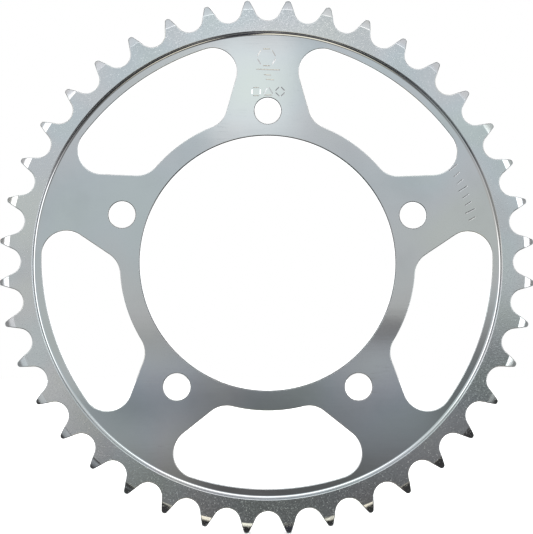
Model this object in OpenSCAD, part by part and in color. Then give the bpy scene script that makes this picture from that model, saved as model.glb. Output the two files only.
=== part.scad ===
// Rear sprocket of a motorcycle: one steel plate, blanked, turned and zinc plated.
// The plate stands upright. Its axis lies along Y, its stepped outer face looks towards -Y,
// and its flat mounting face lies in the plane y = 0. The origin is the centre of the bore
// in that plane, and one bolt hole stands straight above it.

/* [Chain] */
// Pitch of the chain
chain_pitch = 15.875; // [15.8:0.005:15.95]
// Diameter of the chain's rollers
roller_d = 10.16; // [9.9:0.01:10.3]
// Number of teeth
tooth_count = 40; // [40:5:45]

/* [Teeth] */
// Clearance round a roller in its seat
seat_clearance = 0.2; // [0.1:0.05:0.3]
// Half of the angle over which a roller's seat is round
seat_half_angle = 65; // [62:0.5:68]
// Height of a tooth from the root circle to its tip
tooth_h = 8.9; // [8.2:0.1:9.2]
// Height above the root circle at which the tooth's side faces start to thin
side_relief_start = 4.6; // [3.5:0.1:5]
// Thickness that each side face has lost at the tip
side_relief = 2; // [1:0.1:2.2]
// Radius of the curved side relief
side_relief_r = 13; // [10:1:20]

/* [Plate] */
// Thickness of the toothed rim
rim_t = 7.2; // [7:0.1:8]
// Thickness of the web inside the rim
web_t = 6; // [5.5:0.1:6.2]
// Distance from the root circle in to the foot of the step
step_in = 5.9; // [5:0.1:6.5]
// Steepest slope of the step between web and rim
step_slope = 70; // [60:1:80]
// Radius of the step's upper edge
step_edge_r = 0.3; // [0.3:0.1:0.8]

/* [Hub] */
// Diameter of the central bore
bore_d = 100; // [98:0.5:102]
// Chamfer on both edges of the bore
bore_chamfer = 0.4; // [0.2:0.1:0.8]
// Diameter of the bolt circle
bolt_circle_d = 120; // [119:0.5:122]
// Number of bolts, which is also the number of spokes and of windows
bolt_count = 5; // [5:1:5]
// Diameter of a bolt hole
bolt_hole_d = 10.5; // [8.5:0.5:12.5]
// Chamfer on both edges of a bolt hole
bolt_chamfer = 0.3; // [0.2:0.1:0.6]

/* [Windows] */
// Width of the ring between the bore and the windows
hub_ring_w = 7.8; // [7:0.1:9]
// Width of a spoke, measured across it at the bolt circle
spoke_w = 32.6; // [30:0.1:35]
// Angle between a spoke's side and its centre line
spoke_taper = 15.7; // [14:0.1:17]
// Radius of the windows' corners
window_corner_r = 9.5; // [8:0.1:10]
// Distance from the root circle in to the middle of a window's outer edge
window_in = 8.4; // [8:0.1:10]
// How much longer the radius of a window's outer edge is than its distance from the axis
window_flattening = 9.5; // [6:0.5:12]

/* [Hidden] */
$fn = 180;

// How far a cutter runs past the face that it cuts
over = 1;
// How far a round stretch of an outline laps over the straight or round stretch that it runs into
lap = 0.02;
finish_colour = [0.78, 0.79, 0.78];

// The tooth gaps: a roller that rests in its seat is centred on the pitch circle
pitch_r = chain_pitch / 2 / sin(180 / tooth_count);
root_r = pitch_r - roller_d / 2;
tip_r = root_r + tooth_h;
seat_r = roller_d / 2 + seat_clearance;
relief_start_r = root_r + side_relief_start;

// The step between web and rim: a fillet that turns over into a rounded edge
step_r = root_r - step_in;
step_fillet_r = (rim_t - web_t) / (1 - cos(step_slope)) - step_edge_r;

// A window, drawn with its centre line on +X. One side of it is a straight line, a spoke's side
hub_r = bore_d / 2 + hub_ring_w;
window_r = root_r - window_in;
outer_edge_r = window_r + window_flattening;
side_angle = 180 / bolt_count + spoke_taper;
side_along = [cos(side_angle), sin(side_angle)];
side_out = [-sin(side_angle), cos(side_angle)];
side_offset = -spoke_w / 2 * cos(spoke_taper) - bolt_circle_d / 2 * sin(spoke_taper);

// Centre of the corner circle that touches the side and lies at a distance from [x, 0]
function corner_centre(x, distance) =
    let (out = side_offset - window_corner_r - side_out[0] * x)
    [x, 0] + side_out * out + side_along * sqrt(distance ^ 2 - out ^ 2);

// A list of points and its mirror image across the X axis, as one closed outline
function with_mirror_image(points) =
    concat(points, [for (i = [len(points) - 1 : -1 : 0]) [points[i][0], -points[i][1]]]);

module around_axis(count, first_angle) {
    for (i = [0 : count - 1]) {
        rotate(first_angle + i * 360 / count) children();
    }
}

module both_sides() {
    children();
    mirror([0, 1]) children();
}

// A roller's seat, which runs into two straight flanks
module tooth_gap_2d() {
    flank_start = (seat_r - lap) * [-cos(seat_half_angle), sin(seat_half_angle)];
    flank = tooth_h * [sin(seat_half_angle), cos(seat_half_angle)];
    translate([root_r + seat_r, 0]) {
        circle(r = seat_r);
        polygon(with_mirror_image([flank_start, flank_start + flank]));
    }
}

module window_2d() {
    outer_centre = [-window_flattening, 0];
    inner_corner = corner_centre(0, hub_r + window_corner_r - lap);
    outer_corner = corner_centre(-window_flattening, outer_edge_r - window_corner_r + lap);
    to_side = (window_corner_r - lap) * side_out;
    outwards = (outer_corner - outer_centre) / norm(outer_corner - outer_centre);
    past_outer_edge = outer_corner + 2 * window_corner_r * outwards;
    difference() {
        union() {
            both_sides() {
                translate(inner_corner) circle(r = window_corner_r);
                translate(outer_corner) circle(r = window_corner_r);
                polygon([
                    inner_corner,
                    outer_corner,
                    outer_corner + to_side,
                    inner_corner + to_side
                ]);
            }
            intersection() {
                translate(outer_centre) circle(r = outer_edge_r);
                polygon(with_mirror_image([[0, 0], inner_corner, outer_corner, past_outer_edge]));
            }
        }
        circle(r = hub_r);
    }
}

// The plate's outline: teeth, bore, bolt holes and windows
module blank_2d() {
    difference() {
        circle(r = tip_r);
        circle(d = bore_d);
        around_axis(tooth_count, 0) tooth_gap_2d();
        around_axis(bolt_count, 90) translate([bolt_circle_d / 2, 0]) circle(d = bolt_hole_d);
        around_axis(bolt_count, 90 + 180 / bolt_count) window_2d();
    }
}

// What is turned off the front of the web, in the plate's section
module step_cut_2d() {
    top = rim_t + over;
    fillet_centre = [step_r, web_t + step_fillet_r - lap];
    edge_centre = fillet_centre
        + (step_fillet_r + step_edge_r - lap) * [sin(step_slope), -cos(step_slope)];
    difference() {
        union() {
            translate([0, web_t]) square([step_r, top - web_t]);
            translate(fillet_centre) circle(r = step_fillet_r);
            polygon([fillet_centre, edge_centre, [edge_centre[0], top], [step_r, top]]);
        }
        translate(edge_centre) circle(r = step_edge_r);
    }
}

// What is turned off the front of the teeth, in the plate's section
module relief_cut_2d() {
    start = [relief_start_r, rim_t];
    end = [tip_r, rim_t - side_relief];
    chord = end - start;
    inward = [chord[1], -chord[0]] / norm(chord);
    difference() {
        translate([relief_start_r - over, rim_t / 2]) square([tooth_h, rim_t]);
        translate((start + end) / 2 + inward * sqrt(side_relief_r ^ 2 - (norm(chord) / 2) ^ 2)) {
            circle(r = side_relief_r);
        }
    }
}

// The plate's section, from the axis outwards, with its back face on the X axis
module section_2d() {
    difference() {
        square([tip_r + over, rim_t]);
        step_cut_2d();
        relief_cut_2d();
        translate([0, rim_t]) mirror([0, 1]) relief_cut_2d();
    }
}

// Chamfers on both edges of a hole through the web
module hole_chamfers(hole_r, chamfer) {
    translate([0, 0, web_t - chamfer]) {
        cylinder(h = chamfer + over, r1 = hole_r, r2 = hole_r + chamfer + over);
    }
    translate([0, 0, -over]) {
        cylinder(h = chamfer + over, r1 = hole_r + chamfer + over, r2 = hole_r);
    }
}

// The plate lying flat, with its mounting face down
module flat_plate() {
    difference() {
        intersection() {
            linear_extrude(rim_t) blank_2d();
            rotate_extrude() section_2d();
        }
        hole_chamfers(bore_d / 2, bore_chamfer);
        around_axis(bolt_count, 90) translate([bolt_circle_d / 2, 0, 0]) {
            hole_chamfers(bolt_hole_d / 2, bolt_chamfer);
        }
    }
}

module sprocket_plate() {
    color(finish_colour) rotate([90, 0, 0]) flat_plate();
}

sprocket_plate();
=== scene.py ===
import math

import bpy
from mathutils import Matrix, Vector
from mathutils.geometry import delaunay_2d_cdt


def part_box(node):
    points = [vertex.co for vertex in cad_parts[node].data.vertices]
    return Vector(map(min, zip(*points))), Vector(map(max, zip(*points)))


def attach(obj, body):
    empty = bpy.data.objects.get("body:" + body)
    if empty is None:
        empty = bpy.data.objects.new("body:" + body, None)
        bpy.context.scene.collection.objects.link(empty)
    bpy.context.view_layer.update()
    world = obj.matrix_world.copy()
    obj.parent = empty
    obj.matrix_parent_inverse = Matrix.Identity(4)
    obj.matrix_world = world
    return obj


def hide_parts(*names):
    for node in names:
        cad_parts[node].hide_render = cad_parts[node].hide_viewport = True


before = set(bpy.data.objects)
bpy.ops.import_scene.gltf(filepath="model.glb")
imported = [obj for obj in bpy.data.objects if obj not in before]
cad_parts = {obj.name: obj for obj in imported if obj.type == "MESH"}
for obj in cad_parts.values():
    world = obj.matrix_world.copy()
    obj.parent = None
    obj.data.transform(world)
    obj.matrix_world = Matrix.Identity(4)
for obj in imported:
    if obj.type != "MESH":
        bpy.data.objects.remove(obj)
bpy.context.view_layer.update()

# ---------------------------------------------------------------------------
# Dimensions in millimetres. The plate stands in the XZ plane with its axis
# along Y; outlines are drawn as (x, z), and h is the height of a point above
# the back face, so that y = -h. The front face looks towards -Y.
# ---------------------------------------------------------------------------
MM = 0.001
box_low, box_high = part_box("sprocket_plate")
RIM_T = (box_high.y - box_low.y) / MM
WEB_T = RIM_T - 1.2

# Teeth: a gap is a roller's seat that runs into straight flanks. The sides of a tooth are thinned
# by a relief, which starts with a crease and gets steeper towards the tip
TEETH = 40
PITCH_ANGLE = 2 * math.pi / TEETH
CHAIN_PITCH = 15.875
ROLLER_R = 5.08
PITCH_R = CHAIN_PITCH / 2 / math.sin(math.pi / TEETH)
ROOT_R = PITCH_R - ROLLER_R
TIP_R = ROOT_R + 8.9
SEAT_R = ROLLER_R + 0.2
SEAT_ANGLE = math.radians(65)
TIP_CORNER_R = 1.2
RELIEF_START = ROOT_R + 4.6
CREASE_R = 0.5
RELIEF_R = 13.0
RELIEF_SLOPE = math.radians(15)

# The turned step between web and rim: a fillet that turns over into a rounded edge
STEP_R = ROOT_R - 5.9
STEP_SLOPE = math.radians(70)
STEP_EDGE_R = 0.3
STEP_FILLET_R = (RIM_T - WEB_T) / (1 - math.cos(STEP_SLOPE)) - STEP_EDGE_R
STEP_END = STEP_R + (STEP_FILLET_R + STEP_EDGE_R) * math.sin(STEP_SLOPE)

# Bore and bolt holes
BORE_R = 50.0
BORE_CHAMFER = 0.4
BOLTS = 5
BOLT_CIRCLE_R = 60.0
BOLT_HOLE_R = 5.25
BOLT_CHAMFER = 0.3

# Windows, each between two spokes whose sides are straight
HUB_R = BORE_R + 7.8
SPOKE_W = 32.6
SPOKE_TAPER = math.radians(15.7)
WINDOW_CORNER_R = 9.5
WINDOW_FLATTENING = 9.5
WINDOW_EDGE_R = ROOT_R - 8.4 + WINDOW_FLATTENING

# Rounded edges of the windows and of the teeth
EDGE_R = 0.3
TOOTH_EDGE_R = 0.35

# Stamped grooves
GROOVE_HALF_W = 0.24
GROOVE_DEPTH = 0.1

# How finely the outlines and the faces are divided
ACROSS_TOOTH = 12
ROUND = TEETH * ACROSS_TOOTH
SEAT_STEPS = 14
FOOT_STEPS = 3
CREASE_STEPS = 3
FLANK_STEPS = 8
TIP_CORNER_STEPS = 7
RIM_STEPS = 3
STEP_STEPS = 8
STEP_BACK_STEPS = 4
EDGE_STEPS = 4
BORE_STEPS = 240
BOLT_HOLE_STEPS = 64
HUB_ARC_STEPS = 24
INNER_CORNER_STEPS = 24
OUTER_CORNER_STEPS = 36
WINDOW_EDGE_STEPS = 40

# Finishes, in the order of the piece's material slots
FACE, RIM, EDGE, STAMP = range(4)


def unit(v):
    size = math.sqrt(sum(c * c for c in v))
    return tuple(c / size for c in v)


def polar(r, angle):
    return (r * math.cos(angle), r * math.sin(angle))


def turned(p, angle):
    c, s = math.cos(angle), math.sin(angle)
    return (p[0] * c - p[1] * s, p[0] * s + p[1] * c)


# ---------------------------------------------------------------------------
# A mesh whose corners carry exact normals
# ---------------------------------------------------------------------------
class Skin:
    """Faces over shared points. Points that round to the same 0.1 micrometre are one. A face with
    no area to speak of takes its direction from its first corner's normal."""

    DIGITS = 4
    NO_AREA = 1e-9

    def __init__(self):
        self.points = []
        self.index = {}
        self.faces = []
        self.normals = []
        self.finishes = []

    def vertex(self, p):
        key = tuple(round(c, self.DIGITS) for c in p)
        if key not in self.index:
            self.index[key] = len(self.points)
            self.points.append(p)
        return self.index[key]

    def face(self, corners, finish, flat=False):
        """corners is a list of (point, normal), in either order round the face."""
        ids, kept = [], []
        for p, n in corners:
            i = self.vertex(p)
            if i not in ids:
                ids.append(i)
                kept.append((p, n))
        if len(ids) < 3:
            return
        a, b, c = (Vector(kept[k][0]) for k in range(3))
        cross = (b - a).cross(c - a)
        if len(kept) == 4:
            cross += (c - a).cross(Vector(kept[3][0]) - a)
        if cross.length < self.NO_AREA:
            cross = Vector(kept[0][1])
        mean = Vector([sum(n[k] for _, n in kept) for k in range(3)])
        if cross.dot(mean) < 0:
            ids.reverse()
            kept.reverse()
            cross.negate()
        normal = tuple(cross.normalized())
        self.faces.append(ids)
        self.normals += [normal if flat else n for _, n in kept]
        self.finishes.append(finish)

    def strip(self, low, high, finish, closed=True):
        """Joins two rows of (point, normal) with one face for each pair of neighbours."""
        count = len(low)
        for i in range(count if closed else count - 1):
            j = (i + 1) % count
            self.face([low[i], low[j], high[j], high[i]], finish)

    def piece(self, name, materials):
        mesh = bpy.data.meshes.new(name)
        mesh.from_pydata([tuple(c * MM for c in p) for p in self.points], [], self.faces)
        for material in materials:
            mesh.materials.append(material)
        mesh.polygons.foreach_set("material_index", self.finishes)
        mesh.polygons.foreach_set("use_smooth", [True] * len(self.faces))
        mesh.normals_split_custom_set([unit(n) for n in self.normals])
        mesh.update()
        made = bpy.data.objects.new(name, mesh)
        bpy.context.collection.objects.link(made)
        return made


# ---------------------------------------------------------------------------
# The plate's section: height and slope of each face at a radius
# ---------------------------------------------------------------------------
def relief(r):
    """Depth and slope of the relief that thins a tooth's side face."""
    reach = CREASE_R * math.sin(RELIEF_SLOPE)
    along = r - RELIEF_START
    if along <= 0:
        return 0.0, 0.0
    if along < reach:
        slope = math.asin(along / CREASE_R)
        return CREASE_R * (1 - math.cos(slope)), slope
    slope = math.asin(math.sin(RELIEF_SLOPE) + (along - reach) / RELIEF_R)
    depth = CREASE_R * (1 - math.cos(RELIEF_SLOPE))
    return depth + RELIEF_R * (math.cos(RELIEF_SLOPE) - math.cos(slope)), slope


class Side:
    """One of the plate's two side faces."""

    def __init__(self, front):
        self.front = front
        self.sign = -1 if front else 1
        self.web_y = -WEB_T if front else 0.0
        self.rim_y = -RIM_T if front else 0.0

    def flat(self, p, y):
        return (p[0], y, p[1]), (0.0, self.sign, 0.0)

    def rim(self, p):
        """A point of the rim or of a tooth's side face, with its normal."""
        r = math.hypot(*p)
        depth, slope = relief(r)
        out = math.sin(slope) / r
        normal = (p[0] * out, self.sign * math.cos(slope), p[1] * out)
        return (p[0], self.rim_y - self.sign * depth, p[1]), normal


def rounded(side, base, p, out, radius, turn):
    """A point of the rounded edge between a side face and a wall that faces out."""
    c, s = math.cos(turn), math.sin(turn)
    inset = radius * (1 - s)
    point, face_normal = base((p[0] - out[0] * inset, p[1] - out[1] * inset))
    y = point[1] - side.sign * radius * (1 - c)
    normal = (
        out[0] * s + face_normal[0] * c,
        face_normal[1] * c,
        out[1] * s + face_normal[2] * c,
    )
    return (point[0], y, point[2]), normal


# Points across a chamfer: its inset and its drop as parts of its size, and its lean in eighths of a turn
CHAMFER_STATIONS = ((1.0, 0.0, 0.0), (0.85, 0.08, 1.0), (0.08, 0.85, 1.0), (0.0, 1.0, 2.0))


def chamfered(side, base, p, out, size, turn):
    """The same for a chamfer, whose two edges are slightly broken."""
    inset, drop, lean = CHAMFER_STATIONS[turn]
    point, _ = base((p[0] - out[0] * inset * size, p[1] - out[1] * inset * size))
    tilt = lean * math.pi / 4
    s, c = math.sin(tilt), math.cos(tilt)
    return (
        (point[0], point[1] - side.sign * drop * size, point[2]),
        (out[0] * s, side.sign * c, out[1] * s),
    )


# ---------------------------------------------------------------------------
# Outlines: closed loops of (point, normal pointing out of the metal)
# ---------------------------------------------------------------------------
def arc(centre, radius, start, end, steps, sign):
    """sign is 1 where the metal lies inside the arc, and -1 where it lies outside."""
    made = []
    for i in range(steps + 1):
        angle = start + (end - start) * i / steps
        direction = polar(1.0, angle)
        point = (centre[0] + radius * direction[0], centre[1] + radius * direction[1])
        made.append((point, (sign * direction[0], sign * direction[1])))
    return made


def ring(centre, radius, steps):
    return arc(centre, radius, 0, 2 * math.pi, steps, -1)[:-1]


def corner_centre(x, distance, offset, out, along):
    """Centre of a corner that touches the side, at a distance from (x, 0)."""
    reach = offset - WINDOW_CORNER_R - out[0] * x
    rest = math.sqrt(distance ** 2 - reach ** 2)
    return (x + out[0] * reach + along[0] * rest, out[1] * reach + along[1] * rest)


def angle_of(p, centre=(0.0, 0.0)):
    return math.atan2(p[1] - centre[1], p[0] - centre[0])


def window(turn):
    """One window, with its centre line turned from +X."""
    lean = math.pi / BOLTS + SPOKE_TAPER
    along, out = polar(1.0, lean), polar(1.0, lean + math.pi / 2)
    offset = -SPOKE_W / 2 * math.cos(SPOKE_TAPER) - BOLT_CIRCLE_R * math.sin(SPOKE_TAPER)
    middle = (-WINDOW_FLATTENING, 0.0)
    inner = corner_centre(0.0, HUB_R + WINDOW_CORNER_R, offset, out, along)
    outer = corner_centre(middle[0], WINDOW_EDGE_R - WINDOW_CORNER_R, offset, out, along)
    side = lean + math.pi / 2
    edge_start = angle_of(outer, middle)
    half = arc((0.0, 0.0), HUB_R, 0, angle_of(inner), HUB_ARC_STEPS, 1)
    half += arc(inner, WINDOW_CORNER_R, angle_of(inner) + math.pi, side, INNER_CORNER_STEPS, -1)[1:]
    half += arc(outer, WINDOW_CORNER_R, side, edge_start, OUTER_CORNER_STEPS, -1)
    half += arc(middle, WINDOW_EDGE_R, edge_start, 0, WINDOW_EDGE_STEPS, -1)[1:]
    mirrored = [((p[0], -p[1]), (n[0], -n[1])) for p, n in half[-2:0:-1]]
    return [(turned(p, turn), turned(n, turn)) for p, n in half + mirrored]


def half_tooth_gap():
    """From the bottom of a gap, on +X, up one flank to the middle of the tooth's tip."""
    centre = (ROOT_R + SEAT_R, 0.0)
    made = [
        ((centre[0] - SEAT_R * math.cos(t), SEAT_R * math.sin(t)), (math.cos(t), -math.sin(t)))
        for t in (SEAT_ANGLE * i / SEAT_STEPS for i in range(SEAT_STEPS + 1))
    ]
    start = made[-1][0]
    along = (math.sin(SEAT_ANGLE), math.cos(SEAT_ANGLE))
    metal = (-math.cos(SEAT_ANGLE), math.sin(SEAT_ANGLE))

    def reach(distance, beside):
        """How far along the flank a point beside it lies at a distance from the axis."""
        foot = (start[0] + beside * metal[0], start[1] + beside * metal[1])
        b = foot[0] * along[0] + foot[1] * along[1]
        c = foot[0] ** 2 + foot[1] ** 2 - distance ** 2
        return -b + math.sqrt(b * b - c)

    corner_start = reach(TIP_R - TIP_CORNER_R, TIP_CORNER_R)
    relief_end = RELIEF_START + CREASE_R * math.sin(RELIEF_SLOPE)
    crease = [
        reach(RELIEF_START + (relief_end - RELIEF_START) * k / CREASE_STEPS, TOOTH_EDGE_R)
        for k in range(CREASE_STEPS + 1)
    ]
    stations = [crease[0] * k / FOOT_STEPS for k in range(1, FOOT_STEPS)] + crease
    stations += [
        crease[-1] + (corner_start - crease[-1]) * k / FLANK_STEPS for k in range(1, FLANK_STEPS + 1)
    ]
    for s in stations:
        point = (start[0] + along[0] * s, start[1] + along[1] * s)
        made.append((point, (-metal[0], -metal[1])))
    corner = tuple(start[k] + along[k] * corner_start + metal[k] * TIP_CORNER_R for k in range(2))
    turn = angle_of((-metal[0], -metal[1]))
    return made + arc(corner, TIP_CORNER_R, turn, angle_of(corner), TIP_CORNER_STEPS, 1)[1:]


def inset(loop, distance):
    """The points of an outline, moved into the metal."""
    return [(p[0] - n[0] * distance, p[1] - n[1] * distance) for p, n in loop]


# ---------------------------------------------------------------------------
# Stamped marks: plain strokes, each a shallow V-shaped groove
# ---------------------------------------------------------------------------
def strokes():
    """(start, end) of each stroke on the front of the web."""
    made = []

    def outline(centre, radius, corners, turn):
        points = [
            (centre[0] + q[0], centre[1] + q[1])
            for q in (polar(radius, turn + 2 * math.pi * k / corners) for k in range(corners))
        ]
        gap = 0.12
        for a, b in zip(points, points[1:] + points[:1]):
            made.append((
                (a[0] + (b[0] - a[0]) * gap, a[1] + (b[1] - a[1]) * gap),
                (b[0] - (b[0] - a[0]) * gap, b[1] - (b[1] - a[1]) * gap),
            ))

    outline((-0.5, 81.4), 3.9, 6, 0.0)
    made.append(((-4.6, 76.6), (4.9, 76.3)))
    made.append(((-1.6, 74.4), (1.4, 74.2)))
    made.append(((-0.8, 72.6), (2.6, 72.3)))
    outline((-4.6, 67.6), 2.3, 4, math.pi / 4)
    outline((0.2, 67.4), 2.4, 3, math.pi / 2)
    outline((4.9, 67.6), 2.2, 4, 0.0)
    ticks, first_tick, tick_spacing, tick_slant = 11, 33.2, 2.15, 0.012
    for k in range(ticks):
        angle = math.radians(first_tick - tick_spacing * k)
        inner, outer = (80.6, 83.8) if k % 3 else (79.9, 84.4)
        made.append((polar(inner, angle), polar(outer, angle + tick_slant)))
    return made


def groove(start, end):
    """A groove's outline and its bottom line, as two lists of points."""
    along = unit((end[0] - start[0], end[1] - start[1]))
    across = (-along[1] * GROOVE_HALF_W, along[0] * GROOVE_HALF_W)
    bottom = [
        (start[0] + along[0] * GROOVE_HALF_W, start[1] + along[1] * GROOVE_HALF_W),
        (end[0] - along[0] * GROOVE_HALF_W, end[1] - along[1] * GROOVE_HALF_W),
    ]
    rim = [
        start,
        (bottom[0][0] - across[0], bottom[0][1] - across[1]),
        (bottom[1][0] - across[0], bottom[1][1] - across[1]),
        end,
        (bottom[1][0] + across[0], bottom[1][1] + across[1]),
        (bottom[0][0] + across[0], bottom[0][1] + across[1]),
    ]
    return rim, bottom


def inside(p, loop):
    """Whether a point lies inside a closed loop, by counting crossings."""
    hit = False
    for a, b in zip(loop, loop[1:] + loop[:1]):
        if (a[1] > p[1]) != (b[1] > p[1]):
            if p[0] < (b[0] - a[0]) * (p[1] - a[1]) / (b[1] - a[1]) + a[0]:
                hit = not hit
    return hit


# ---------------------------------------------------------------------------
# Building the plate
# ---------------------------------------------------------------------------
def circle_row(r):
    """The points of a whole circle, as many as all rows round the plate have."""
    return [polar(r, 2 * math.pi * k / ROUND) for k in range(ROUND)]


# Settings of Blender's triangulation: it returns every triangle, and merges points this close (mm)
OUTPUT_ALL = 0
MERGE_DISTANCE = 1e-5


def web_faces(skin, side, holes, marks):
    """The flat web between the bore and the step, round the holes, with stamped grooves."""
    points, edges, sunk = [], [], set()

    def add(loop, closed=True):
        first = len(points)
        points.extend(loop)
        last = len(points) - 1
        edges.extend((k, k + 1) for k in range(first, last))
        if closed:
            edges.append((last, first))

    add(circle_row(STEP_R))
    for loop in holes:
        add(loop)
    rims = []
    for start, end in marks:
        rim, bottom = groove(start, end)
        rims.append(rim)
        add(rim)
        sunk.update((len(points), len(points) + 1))
        add(bottom, closed=False)
    _, _, triangles, sources, _, _ = delaunay_2d_cdt(
        [Vector(p) for p in points], edges, [], OUTPUT_ALL, MERGE_DISTANCE, True
    )
    source = [min(ids) if ids else None for ids in sources]
    for triangle in triangles:
        ids = [source[k] for k in triangle]
        flat = [points[k] for k in ids]
        middle = (sum(p[0] for p in flat) / 3, sum(p[1] for p in flat) / 3)
        if any(inside(middle, loop) for loop in holes):
            continue
        stamped = any(inside(middle, rim) for rim in rims)
        corners = [
            side.flat(points[k], side.web_y + (GROOVE_DEPTH if k in sunk else 0.0)) for k in ids
        ]
        skin.face(corners, STAMP if stamped else FACE, flat=stamped)


def step_rows(side):
    """The turned step between web and rim: a fillet that turns over into a rounded edge."""
    if not side.front:
        across = [k / STEP_BACK_STEPS for k in range(STEP_BACK_STEPS + 1)]
        radii = [STEP_R + (STEP_END - STEP_R) * part for part in across]
        return [[side.flat(p, 0.0) for p in circle_row(r)] for r in radii]
    rows = []
    slopes = [STEP_SLOPE * k / STEP_STEPS for k in range(STEP_STEPS + 1)]
    stations = [
        (STEP_R + STEP_FILLET_R * math.sin(a), WEB_T + STEP_FILLET_R * (1 - math.cos(a)), a)
        for a in slopes
    ]
    stations += [
        (STEP_END - STEP_EDGE_R * math.sin(a), RIM_T - STEP_EDGE_R * (1 - math.cos(a)), a)
        for a in slopes[-2::-1]
    ]
    for r, h, a in stations:
        rows.append([
            ((p[0], -h, p[1]), (-p[0] / r * math.sin(a), -math.cos(a), -p[1] / r * math.sin(a)))
            for p in circle_row(r)
        ])
    return rows


def tooth_faces(skin, side, half):
    """Side faces of the rim and teeth; each row runs from flank to flank."""
    base = [polar_inset(p, n) for p, n in half]
    root = base[0][0]
    radii = [STEP_END + (root - STEP_END) * k / RIM_STEPS for k in range(RIM_STEPS)] + [root]
    rows = [[side.rim(p) for p in circle_row(r)] for r in radii]
    for low, high in zip(rows, rows[1:]):
        skin.strip(low, high, RIM)
    for tooth in range(TEETH):
        turn = tooth * PITCH_ANGLE
        grid = []
        for r, a in base:
            columns = [
                turn + a + (PITCH_ANGLE - 2 * a) * k / ACROSS_TOOTH for k in range(ACROSS_TOOTH + 1)
            ]
            grid.append([side.rim(polar(r, angle)) for angle in columns])
        for low, high in zip(grid, grid[1:]):
            skin.strip(low, high, RIM, closed=False)


def polar_inset(p, n):
    """Distance and angle of an outline's point, moved in to where the rounded edge starts."""
    q = (p[0] - n[0] * TOOTH_EDGE_R, p[1] - n[1] * TOOTH_EDGE_R)
    return math.hypot(*q), angle_of(q)


def tooth_outline(half):
    """The whole outline, with the points between a tip's corners."""
    a = angle_of(half[-1][0])
    tip = [a + (PITCH_ANGLE - 2 * a) * k / ACROSS_TOOTH for k in range(1, ACROSS_TOOTH)]
    tip = [(polar(TIP_R, angle), polar(1.0, angle)) for angle in tip]
    falling = [
        (turned((p[0], -p[1]), PITCH_ANGLE), turned((n[0], -n[1]), PITCH_ANGLE))
        for p, n in half[:0:-1]
    ]
    return [
        (turned(p, tooth * PITCH_ANGLE), turned(n, tooth * PITCH_ANGLE))
        for tooth in range(TEETH)
        for p, n in half + tip + falling
    ]


def edge_and_wall(skin, loop, bases, profile, size, stations):
    """Both edges of a wall and the wall between them."""
    last = []
    for side, base in bases:
        rows = [[profile(side, base, p, n, size, t) for p, n in loop] for t in stations]
        for low, high in zip(rows, rows[1:]):
            skin.strip(low, high, EDGE)
        last.append([(point, (n[0], 0.0, n[1])) for (point, _), (_, n) in zip(rows[-1], loop)])
    skin.strip(last[0], last[1], EDGE)


def build_plate(materials):
    skin = Skin()
    half = half_tooth_gap()
    bore = ring((0.0, 0.0), BORE_R, BORE_STEPS)
    spokes = [math.pi / 2 + 2 * math.pi * k / BOLTS for k in range(BOLTS)]
    bolt_holes = [ring(polar(BOLT_CIRCLE_R, turn), BOLT_HOLE_R, BOLT_HOLE_STEPS) for turn in spokes]
    windows = [window(turn + math.pi / BOLTS) for turn in spokes]
    sides = [Side(True), Side(False)]
    for side in sides:
        holes = [inset(bore, BORE_CHAMFER)]
        holes += [inset(loop, BOLT_CHAMFER) for loop in bolt_holes]
        holes += [inset(loop, EDGE_R) for loop in windows]
        web_faces(skin, side, holes, strokes() if side.front else [])
        rows = step_rows(side)
        for low, high in zip(rows, rows[1:]):
            skin.strip(low, high, FACE)
        tooth_faces(skin, side, half)
    web = [(side, lambda p, side=side: side.flat(p, side.web_y)) for side in sides]
    rim = [(side, side.rim) for side in sides]
    turns = [math.pi / 2 * k / EDGE_STEPS for k in range(EDGE_STEPS + 1)]
    across_chamfer = range(len(CHAMFER_STATIONS))
    edge_and_wall(skin, bore, web, chamfered, BORE_CHAMFER, across_chamfer)
    for loop in bolt_holes:
        edge_and_wall(skin, loop, web, chamfered, BOLT_CHAMFER, across_chamfer)
    for loop in windows:
        edge_and_wall(skin, loop, web, rounded, EDGE_R, turns)
    edge_and_wall(skin, tooth_outline(half), rim, rounded, TOOTH_EDGE_R, turns)
    return skin.piece("sprocket_zinc_plate", materials)


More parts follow.
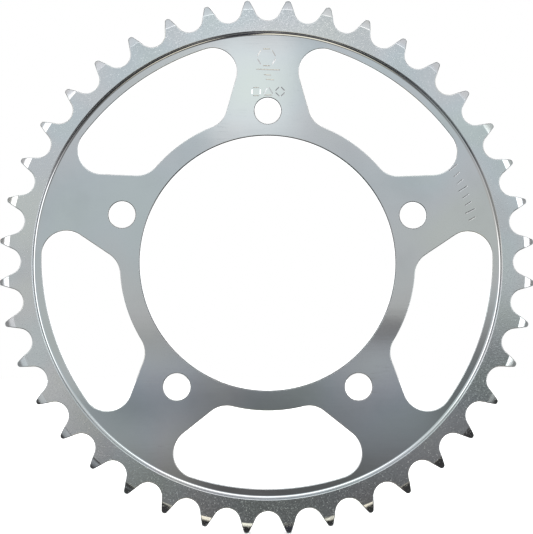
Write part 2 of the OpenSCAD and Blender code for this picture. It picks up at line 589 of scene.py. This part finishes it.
# ---------------------------------------------------------------------------
# Materials
# ---------------------------------------------------------------------------
class Graph:
    """Short calls for building a node tree."""

    def __init__(self, tree):
        self.tree = tree
        tree.nodes.clear()

    def node(self, kind, inputs=None, **settings):
        made = self.tree.nodes.new("ShaderNode" + kind)
        for name, value in settings.items():
            setattr(made, name, value)
        for name, value in (inputs or {}).items():
            self.feed(made.inputs[name], value)
        return made

    def feed(self, socket, value):
        if isinstance(value, bpy.types.NodeSocket):
            self.tree.links.new(value, socket)
        elif value is not None:
            socket.default_value = value

    def math(self, operation, a, b=None, c=None):
        return self.node("Math", {0: a, 1: b, 2: c}, operation=operation).outputs[0]

    def times(self, *values):
        product = values[0]
        for value in values[1:]:
            product = self.math("MULTIPLY", product, value)
        return product

    def span(self, value, low, high, to_low=0.0, to_high=1.0, kind="SMOOTHSTEP"):
        """Goes from to_low to to_high as value goes from low to high. low may be above high."""
        made = self.node(
            "MapRange",
            {"Value": value, "From Min": low, "From Max": high, "To Min": to_low, "To Max": to_high},
            interpolation_type=kind,
        )
        return made.outputs["Result"]

    def ramp(self, value, stops):
        """stops are (position, colour), and a colour of one number is a grey."""
        made = self.node("ValToRGB", {"Fac": value})
        marks = made.color_ramp.elements
        while len(marks) < len(stops):
            marks.new(0.5)
        for mark, (position, _) in zip(marks, stops):
            mark.position = position
        for mark, (_, colour) in zip(marks, stops):
            mark.color = rgb(*colour) if len(colour) == 3 else rgb(*colour * 3)
        return made.outputs["Color"]

    def noise(self, vector, scale, detail=2.0, roughness=0.5):
        made = self.node(
            "TexNoise", {"Vector": vector, "Scale": scale, "Detail": detail, "Roughness": roughness}
        )
        return made.outputs["Fac"]

    def mix(self, factor, a, b, kind="MIX"):
        made = self.node("Mix", data_type="RGBA", blend_type=kind)
        self.feed(made.inputs["Factor"], factor)
        self.feed(made.inputs["A"], a)
        self.feed(made.inputs["B"], b)
        return made.outputs["Result"]


def rgb(red, green, blue):
    return (red, green, blue, 1.0)


def zinc(name, tint, cloud_scale):
    """A zinc-plated surface whose passivation film drifts between faint tints. Returns the material,
    its graph, its coordinates, its cloud, its colour and its shader."""
    material = bpy.data.materials.new(name)
    material.use_nodes = True
    g = Graph(material.node_tree)
    place = g.node("TexCoord").outputs["Object"]
    cloud = g.noise(place, cloud_scale, 3.0, 0.55)
    drift = g.noise(place, cloud_scale * 0.45, 1.5, 0.5)
    film = g.ramp(drift, [
        (0.32, (0.715, 0.768, 0.758)), (0.45, (0.722, 0.758, 0.782)),
        (0.55, (0.752, 0.752, 0.770)), (0.68, (0.765, 0.768, 0.745)),
    ])
    colour = g.mix(1.0, film, rgb(*tint), "MULTIPLY")
    shade = g.ramp(cloud, [(0.3, (0.92,)), (0.5, (0.975,)), (0.72, (1.0,))])
    colour = g.mix(1.0, colour, shade, "MULTIPLY")
    shader = g.node("BsdfPrincipled", {"Metallic": 1.0})
    out = g.node("OutputMaterial")
    g.tree.links.new(shader.outputs[0], out.inputs["Surface"])
    return material, g, place, cloud, colour, shader


def finish_zinc(g, shader, colour, roughness, height, strength, distance):
    g.feed(shader.inputs["Base Color"], colour)
    g.feed(shader.inputs["Roughness"], roughness)
    bump = g.node("Bump", {"Height": height, "Strength": strength, "Distance": distance})
    g.feed(shader.inputs["Normal"], bump.outputs["Normal"])


def stretched(g, place, scale):
    """Coordinates for a noise that is stretched along the axes with a small scale."""
    return g.node("Mapping", {"Vector": place, "Scale": scale}).outputs["Vector"]


def radius_and_angle(g, place):
    x, _, z = g.node("SeparateXYZ", {"Vector": place}).outputs
    r = g.math("SQRT", g.math("ADD", g.times(x, x), g.times(z, z)))
    return r, g.math("ARCTAN2", z, x)


def web_material():
    """Rolled sheet: smooth, cloudy, with faint rolling lines and a few handling scuffs."""
    material, g, place, cloud, colour, shader = zinc("zinc_web", (1.0, 1.0, 1.0), 45)
    rolled = g.noise(stretched(g, place, (60, 60, 900)), 1.0, 2.0, 0.6)
    soft = g.noise(place, 130, 2.0, 0.5)
    scuffs = g.span(g.noise(stretched(g, place, (70, 70, 1500)), 1.0, 3.0, 0.7), 0.62, 0.74)
    patches = g.span(g.noise(place, 38, 1.0, 0.5), 0.52, 0.64)
    scuffs = g.times(scuffs, patches)
    height = g.math("ADD", g.times(rolled, 0.25), soft)
    height = g.math("SUBTRACT", height, g.times(scuffs, 0.9))
    roughness = g.span(cloud, 0.3, 0.7, 0.06, 0.09)
    roughness = g.math("MULTIPLY_ADD", scuffs, 0.12, roughness)
    finish_zinc(g, shader, colour, roughness, height, 0.010, 0.0006)
    return material


def rim_material():
    """Turned face: faint concentric tool lines, a fine grain and small rough specks."""
    material, g, place, _, colour, shader = zinc("zinc_rim", (1.065, 1.07, 1.07), 60)
    r, angle = radius_and_angle(g, place)
    turning = g.node("CombineXYZ", {"X": g.times(r, 2600), "Y": g.times(angle, 5)})
    turned_lines = g.noise(turning.outputs[0], 1.0, 2.0, 0.6)
    grain = g.noise(place, 1700, 3.0, 0.75)
    specks = g.span(g.noise(place, 1250, 1.0, 0.6), 0.60, 0.71)
    height = g.math("MULTIPLY_ADD", turned_lines, 0.5, grain)
    height = g.math("MULTIPLY_ADD", specks, 2.2, height)
    roughness = g.span(grain, 0.42, 0.66, 0.08, 0.20)
    roughness = g.math("MULTIPLY_ADD", specks, 0.18, roughness)
    finish_zinc(g, shader, colour, roughness, height, 0.022, 0.0004)
    return material


def edge_material(name, rough):
    """Sheared or cut walls: fine lines run from face to face."""
    material, g, place, cloud, colour, shader = zinc(name, (0.93, 0.93, 0.92), 90)
    sheared = g.noise(stretched(g, place, (1400, 120, 1400)), 1.0, 2.0, 0.6)
    roughness = g.span(cloud, 0.3, 0.7, rough - 0.04, rough + 0.04)
    finish_zinc(g, shader, colour, roughness, sheared, 0.15, 0.0003)
    return material


# ---------------------------------------------------------------------------
# Camera, studio and floor, in metres. The camera looks at the front face from a little below and
# to the left of its centre
# ---------------------------------------------------------------------------
CAMERA_DISTANCE = 0.450
CAMERA_DROP = 0.0372
CAMERA_SIDE = -0.0080
CAMERA_AIM = (-0.0004, 0.0, -0.0015)
CAMERA_LENS = 76.85
SENSOR_W = 36
NEAR, FAR = 0.01, 50
LIGHT_PLACE = (0.0, -0.9, 1.6)
LIGHT_SIZE = (1.2, 0.8)
LIGHT_POWER = 12
FLOOR_HALF = 3.0


def make_camera():
    lens = bpy.data.cameras.new("camera")
    lens.sensor_width = SENSOR_W
    lens.clip_start, lens.clip_end = NEAR, FAR
    made = bpy.data.objects.new("camera", lens)
    bpy.context.collection.objects.link(made)
    made.location = (CAMERA_SIDE, -CAMERA_DISTANCE, -CAMERA_DROP)
    made.rotation_mode = "QUATERNION"
    made.rotation_quaternion = (Vector(CAMERA_AIM) - made.location).to_track_quat("-Z", "Y")
    lens.lens = CAMERA_LENS
    bpy.context.scene.camera = made


# The world is drawn by direction. A direction is also given by the point of the flat plate, in
# millimetres from its centre, in which the camera sees it mirrored: across and up
MIRROR_REACH = CAMERA_DISTANCE / MM
MIRROR_X, MIRROR_Z = CAMERA_SIDE / MM, -CAMERA_DROP / MM
DEGREE = 180 / math.pi
CREAM = (1.25, 1.18, 0.98)
NEAR_BLACK = (0.05, 0.05, 0.06)
WHITE = 2.2
FLOOR_SKY = (2.4, 2.4, 2.4)


def column(g, value, low, high, stops):
    """Colours at values between low and high, with straight blends between them."""
    marks = [((at - low) / (high - low), colour) for at, colour in stops]
    return g.ramp(g.span(value, low, high, kind="LINEAR"), marks)


def by_rise(g, rise, stops):
    """Colours at angles above the horizon, in degrees."""
    return column(g, rise, -90, 90, stops)


def lit_wall(g, across, up):
    """The light wall above eye level, with a bright patch that the top spoke mirrors."""
    wall = column(g, up, -100, 120, [
        (-100, (0.55,)), (-10, (0.56, 0.58, 0.57)), (10, (0.55, 0.59, 0.60)),
        (45, (0.58, 0.62, 0.64)), (75, (0.62, 0.66, 0.68)), (87, (0.64, 0.69, 0.72)),
        (94, (0.565, 0.61, 0.63)),
    ])
    beside_spoke = g.times(g.span(across, -36, -12), g.span(across, 20, 2))
    along_spoke = g.times(g.span(up, 40, 60), g.span(up, 95, 88))
    return g.mix(g.times(beside_spoke, along_spoke, 0.85), wall, rgb(1.04, 1.07, 1.06))


def dark_front(g, across, up):
    """The dark front below eye level, which is uneven."""
    front = column(g, up, -100, 0, [
        (-100, (0.12,)), (-91, (0.11,)), (-80, (0.17,)), (-56, (0.20, 0.21, 0.215)),
        (-48, (0.25, 0.26, 0.27)), (-38, (0.33, 0.35, 0.35)), (-28, (0.22,)), (-15, (0.22,)),
    ])
    off_centre = g.times(g.span(g.math("ABSOLUTE", across), 8, 42), g.span(across, 74, 58))
    off_centre = g.times(off_centre, g.span(up, -82, -66), g.span(up, -24, -38))
    low_left = g.times(g.span(across, -22, -36), g.span(up, -54, -74))
    far_right = g.times(g.span(across, 62, 72), g.span(up, -62, -50), g.span(up, -28, -38))
    for place, change in (
        (off_centre, rgb(1.38, 1.42, 1.50)),
        (low_left, rgb(1.60, 1.60, 1.55)),
        (far_right, rgb(0.62, 0.62, 0.62)),
    ):
        front = g.mix(place, front, g.mix(1.0, front, change, "MULTIPLY"))
    return front


def eye_level(g, across, up):
    """The wall and the dark front, with a soft slanted edge between them."""
    left = g.math("MINIMUM", across, 0.0)
    far_left = g.math("MINIMUM", g.math("ADD", across, 58.0), 0.0)
    far_right = g.math("MAXIMUM", g.math("SUBTRACT", across, 50.0), 0.0)
    edge = g.math("MULTIPLY_ADD", left, 0.15, -21.0)
    edge = g.math("MULTIPLY_ADD", far_left, 1.5, edge)
    edge = g.math("MULTIPLY_ADD", far_right, -0.04, edge)
    left_of_right = g.math("MAXIMUM", g.math("SUBTRACT", 20.0, across), 0.0)
    blur = g.math("MULTIPLY_ADD", left_of_right, 0.11, 3.0)
    blur = g.math("MULTIPLY_ADD", far_right, 0.3, blur)
    below = g.math("DIVIDE", g.math("SUBTRACT", edge, up), blur)
    return g.mix(g.span(below, -1, 1), lit_wall(g, across, up), dark_front(g, across, up))


def all_directions(g, side, rise, ahead, straight_on):
    """What the plating mirrors. side is the angle from the front, to the right, in degrees."""
    middle = by_rise(g, rise, [
        (-90, (0.40,)), (-80, (0.36,)), (-72, (0.04,)), (-51, (0.02,)), (-46, CREAM),
        (-22, CREAM), (-13, (0.13,)), (-8, (0.12,)), (20, (0.75,)), (25, (WHITE,)),
        (40, (WHITE,)), (44, (0.80, 0.82, 0.84)), (90, (0.62, 0.64, 0.66)),
    ])
    flank = by_rise(g, rise, [
        (-90, (0.30,)), (-70, (0.04,)), (-20, (0.05,)), (-12, (0.25,)), (-5, (0.5,)),
        (8, (0.6,)), (30, (0.74, 0.77, 0.80)), (90, (0.68, 0.70, 0.72)),
    ])
    right = by_rise(g, rise, [
        (-90, (0.30,)), (-60, (0.05,)), (-25, (0.04,)), (-20, (0.40,)), (-15, (0.5,)),
        (-11, (WHITE,)), (22, (WHITE,)), (30, (0.7,)), (90, (0.68, 0.70, 0.72)),
    ])
    left = by_rise(g, rise, [
        (-90, (0.30,)), (-60, (0.05,)), (-45, (0.05,)), (-37, (0.26, 0.27, 0.28)),
        (-24, (0.50, 0.53, 0.54)), (-14, (0.64, 0.67, 0.68)), (-4, (0.72,)), (3, (2.0,)),
        (32, (2.0,)), (37, (0.80, 0.82, 0.84)), (90, (0.68, 0.70, 0.72)),
    ])
    beside = by_rise(g, rise, [
        (-90, (0.30,)), (-55, (0.06,)), (-24, (0.05,)), (-17, (0.30,)), (12, (0.30,)),
        (40, (0.7,)), (90, (0.68, 0.70, 0.72)),
    ])
    rear_side = by_rise(g, rise, [
        (-90, (0.35,)), (-50, (0.40,)), (-25, (0.50, 0.52, 0.53)), (10, (0.70, 0.73, 0.75)),
        (50, (0.95,)), (90, (0.8,)),
    ])
    behind = by_rise(g, rise, [
        (-90, (0.30,)), (-45, (0.5,)), (-28, (1.6,)), (20, (1.6,)), (30, (WHITE,)), (90, (WHITE,)),
    ])
    turn = g.math("ABSOLUTE", side)
    stand = g.times(g.span(side, 2.4, 3.0), g.span(side, 15.0, 13.5), g.span(rise, -14, -18))
    near_eye = g.times(g.span(rise, -11, -8.5), g.span(rise, 23, 20))
    rear_top = g.times(g.span(turn, 100, 112), g.span(rise, 12, 22))
    overhead = g.times(g.span(ahead, 0.15, 0.05), g.span(ahead, -0.62, -0.52), g.span(rise, 8, 20))
    colour = middle
    for place, over in (
        (stand, rgb(*NEAR_BLACK)),
        (near_eye, straight_on),
        (g.span(side, 22, 27), flank),
        (g.span(side, -15, -20), flank),
        (g.span(side, 36, 46), right),
        (g.span(side, 60, 67), beside),
        (g.span(side, -31, -37), left),
        (g.span(side, -56, -66), beside),
        (g.span(turn, 84, 94), rear_side),
        (g.span(turn, 148, 162), behind),
        (rear_top, behind),
        (overhead, rgb(*NEAR_BLACK)),
    ):
        colour = g.mix(place, colour, over)
    return colour


def studio_world():
    """Plain white to the camera, and an even light to the floor. Metal mirrors a soft studio with a
    dark front below eye level."""
    world = bpy.data.worlds.new("studio")
    bpy.context.scene.world = world
    world.use_nodes = True
    g = Graph(world.node_tree)
    x, y, z = g.node("SeparateXYZ", {"Vector": g.node("TexCoord").outputs["Generated"]}).outputs
    ahead = g.times(y, -1.0)
    side = g.times(g.math("ARCTAN2", x, ahead), DEGREE)
    rise = g.times(g.math("ARCSINE", z), DEGREE)
    forward = g.math("MAXIMUM", ahead, 0.05)
    across = g.math("MULTIPLY_ADD", g.math("DIVIDE", x, forward), MIRROR_REACH, MIRROR_X)
    up = g.math("MULTIPLY_ADD", g.math("DIVIDE", z, forward), MIRROR_REACH, MIRROR_Z)
    mirrored = all_directions(g, side, rise, ahead, eye_level(g, across, up))
    path = g.node("LightPath").outputs
    sky = g.mix(path["Is Diffuse Ray"], mirrored, rgb(*FLOOR_SKY))
    sky = g.mix(path["Is Camera Ray"], sky, rgb(1.0, 1.0, 1.0))
    shader = g.node("Background", {"Color": sky, "Strength": 1.0})
    out = g.node("OutputWorld")
    g.tree.links.new(shader.outputs[0], out.inputs["Surface"])


def make_light():
    """A soft light on the floor. The plating doesn't mirror it."""
    data = bpy.data.lights.new("top_light", "AREA")
    data.shape = "RECTANGLE"
    data.size, data.size_y = LIGHT_SIZE
    data.energy = LIGHT_POWER
    made = bpy.data.objects.new("top_light", data)
    bpy.context.collection.objects.link(made)
    made.location = LIGHT_PLACE
    made.rotation_mode = "QUATERNION"
    made.rotation_quaternion = (-Vector(LIGHT_PLACE)).to_track_quat("-Z", "Y")
    made.visible_glossy = False


def make_floor():
    """A plain pale floor under the lowest teeth. The plating doesn't mirror it."""
    bottom = box_low.z
    corners = [(-1, -1), (1, -1), (1, 1), (-1, 1)]
    mesh = bpy.data.meshes.new("floor")
    mesh.from_pydata([(x * FLOOR_HALF, y * FLOOR_HALF, bottom) for x, y in corners], [], [(0, 1, 2, 3)])
    made = bpy.data.objects.new("floor", mesh)
    bpy.context.collection.objects.link(made)
    material = bpy.data.materials.new("pale_floor")
    material.use_nodes = True
    g = Graph(material.node_tree)
    shader = g.node("BsdfPrincipled", {"Base Color": rgb(0.9, 0.9, 0.9), "Roughness": 0.9})
    shader.inputs["Specular IOR Level"].default_value = 0.0
    out = g.node("OutputMaterial")
    g.tree.links.new(shader.outputs[0], out.inputs["Surface"])
    mesh.materials.append(material)
    made.visible_glossy = False


make_camera()
plate = build_plate([
    web_material(), rim_material(), edge_material("zinc_edge", 0.22), edge_material("zinc_stamp", 0.18)
])
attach(plate, "root")
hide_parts("sprocket_plate")
studio_world()
make_floor()
make_light()
bpy.context.scene.view_settings.view_transform = "Standard"
